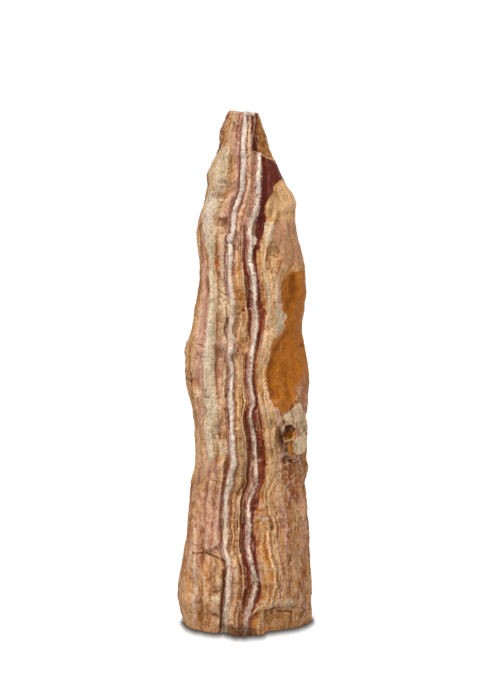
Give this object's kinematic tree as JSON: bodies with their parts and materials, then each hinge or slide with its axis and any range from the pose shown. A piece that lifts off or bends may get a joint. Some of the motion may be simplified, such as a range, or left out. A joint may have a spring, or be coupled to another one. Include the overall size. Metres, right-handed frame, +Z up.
{
  "type": "onyx monolith",
  "caption": "Tall tapering pillar of rough split banded onyx, wide flutes and ledges along its upright bands, standing on a flat sawn base.",
  "frame": {"origin": "middle of the stone's outline seen from above, on the flat base it stands on", "axes": "+Z up the stone's height, +X to the right across the banded front, -Y towards the viewer of the banded front"},
  "size_m": [0.3222, 0.2718, 1.2054],
  "materials": {
    "onyx": "rough split banded onyx: upright cream, white, rose, ochre, maroon and amber layers, matt to waxy"
  },
  "bodies": {
    "root": {"monolith": "onyx"}
  },
  "joints": []
}
